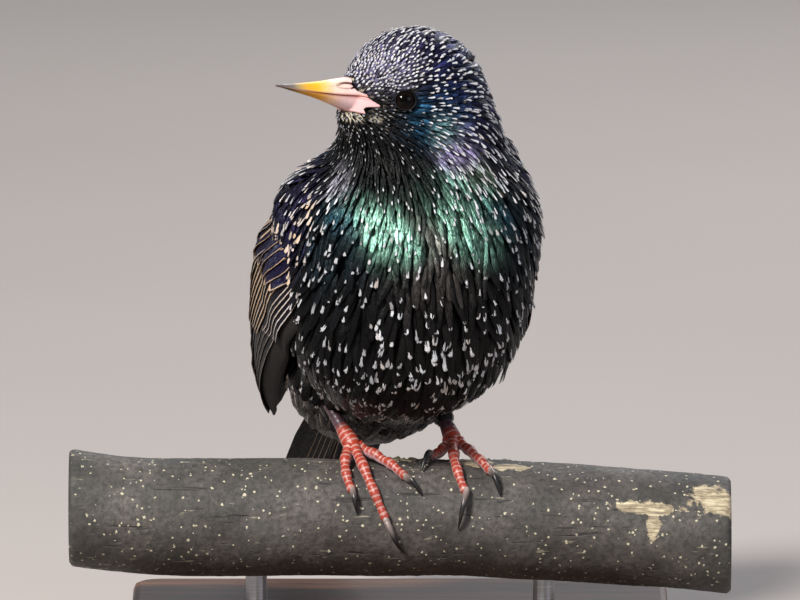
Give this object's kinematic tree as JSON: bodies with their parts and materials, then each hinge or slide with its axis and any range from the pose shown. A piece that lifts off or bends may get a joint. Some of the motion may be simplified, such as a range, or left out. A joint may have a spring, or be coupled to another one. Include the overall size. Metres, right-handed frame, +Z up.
{
  "type": "perched starling figure",
  "caption": "Life-size still starling perched on a short cut branch, with its head turned, held over a flat wooden base by short steel rods.",
  "frame": {"origin": "centre of the base's underside", "axes": "+Z up, +X along the perch to the viewer's right, +Y away from the viewer; the bird's chest looks to -Y"},
  "size_m": [0.184, 0.1428, 0.176],
  "materials": {
    "plumage": "black contour feathers with green and purple gloss and pale tips",
    "wing_plumage": "dark flight feathers with buff edges",
    "eye": "very dark brown, wet gloss",
    "bill_horn": "smooth horn, dark tip, yellow to pinkish base",
    "leg_skin": "scaly reddish skin",
    "claw_horn": "dark horn",
    "bark": "dark grey bark with sawn ends",
    "stained_wood": "dark stained, satin",
    "steel": "plain satin rod"
  },
  "bodies": {
    "root": {"bill_lower": "bill_horn", "bill_upper": "bill_horn", "claw_left_1": "claw_horn", "claw_left_2": "claw_horn", "claw_left_3": "claw_horn", "claw_left_4": "claw_horn", "claw_right_1": "claw_horn", "claw_right_2": "claw_horn", "claw_right_3": "claw_horn", "claw_right_4": "claw_horn", "eye_left": "eye", "eye_right": "eye", "foot_left": "leg_skin", "foot_right": "leg_skin", "head": "plumage", "neck": "plumage", "perch": "bark", "stand_base": "stained_wood", "stand_rod_left": "steel", "stand_rod_right": "steel", "tail": "wing_plumage", "tarsus_left": "leg_skin", "tarsus_right": "leg_skin", "thigh_left": "plumage", "thigh_right": "plumage", "toe_left_1": "leg_skin", "toe_left_2": "leg_skin", "toe_left_3": "leg_skin", "toe_left_4": "leg_skin", "toe_right_1": "leg_skin", "toe_right_2": "leg_skin", "toe_right_3": "leg_skin", "toe_right_4": "leg_skin", "trunk": "plumage", "wing_left": "wing_plumage", "wing_right": "wing_plumage"}
  },
  "joints": []
}
